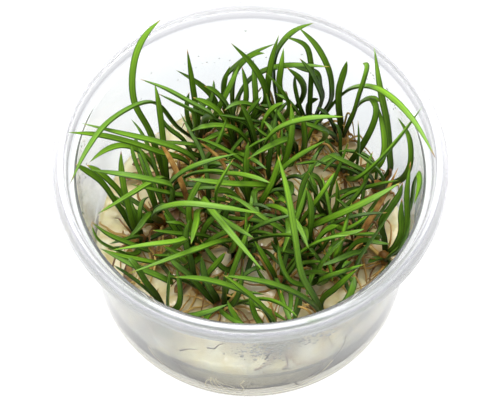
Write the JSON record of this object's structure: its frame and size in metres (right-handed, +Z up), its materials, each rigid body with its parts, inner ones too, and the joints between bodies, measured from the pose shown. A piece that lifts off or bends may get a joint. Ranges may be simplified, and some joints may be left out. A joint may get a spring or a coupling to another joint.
{
  "type": "tissue culture shoreweed",
  "caption": "Tufts of narrow, pointed green shoreweed leaves rooted in a cake of cream gel inside an open, round, clear plastic cup with a stepped rim.",
  "frame": {"origin": "centre of the cup's foot, on the surface that the cup stands on", "axes": "+Z up, -Y towards the viewer of the picture, +X to the picture's right"},
  "size_m": [0.1, 0.1, 0.06],
  "materials": {
    "clear_plastic": "clear, slightly hazy, glossy",
    "agar_gel": "wet, glossy, translucent cream",
    "leaf_green": "smooth, slightly glossy leaf",
    "dead_leaf": "limp brown dead leaf"
  },
  "bodies": {
    "root": {"cup": "clear_plastic", "gel": "agar_gel", "plantlet_01": "leaf_green", "plantlet_02": "leaf_green", "plantlet_03": "leaf_green", "plantlet_04": "leaf_green", "plantlet_05": "leaf_green", "plantlet_06": "leaf_green", "plantlet_07": "leaf_green", "plantlet_08": "leaf_green", "plantlet_09": "leaf_green", "plantlet_10": "leaf_green", "plantlet_11": "leaf_green", "plantlet_12": "leaf_green", "plantlet_13": "leaf_green", "plantlet_14": "leaf_green", "plantlet_15": "leaf_green", "plantlet_16": "leaf_green", "plantlet_17": "leaf_green", "plantlet_18": "leaf_green", "plantlet_19": "leaf_green", "plantlet_20": "leaf_green", "plantlet_21": "leaf_green", "plantlet_22": "leaf_green", "plantlet_23": "leaf_green", "plantlet_24": "leaf_green", "plantlet_25": "leaf_green", "plantlet_26": "leaf_green", "plantlet_27": "leaf_green", "plantlet_28": "leaf_green", "plantlet_29": "leaf_green", "plantlet_30": "leaf_green", "plantlet_31": "leaf_green", "plantlet_32": "leaf_green", "dead_leaf_01": "dead_leaf", "dead_leaf_02": "dead_leaf", "dead_leaf_03": "dead_leaf", "dead_leaf_04": "dead_leaf", "dead_leaf_05": "dead_leaf", "dead_leaf_06": "dead_leaf", "dead_leaf_07": "dead_leaf", "dead_leaf_08": "dead_leaf"}
  },
  "joints": []
}
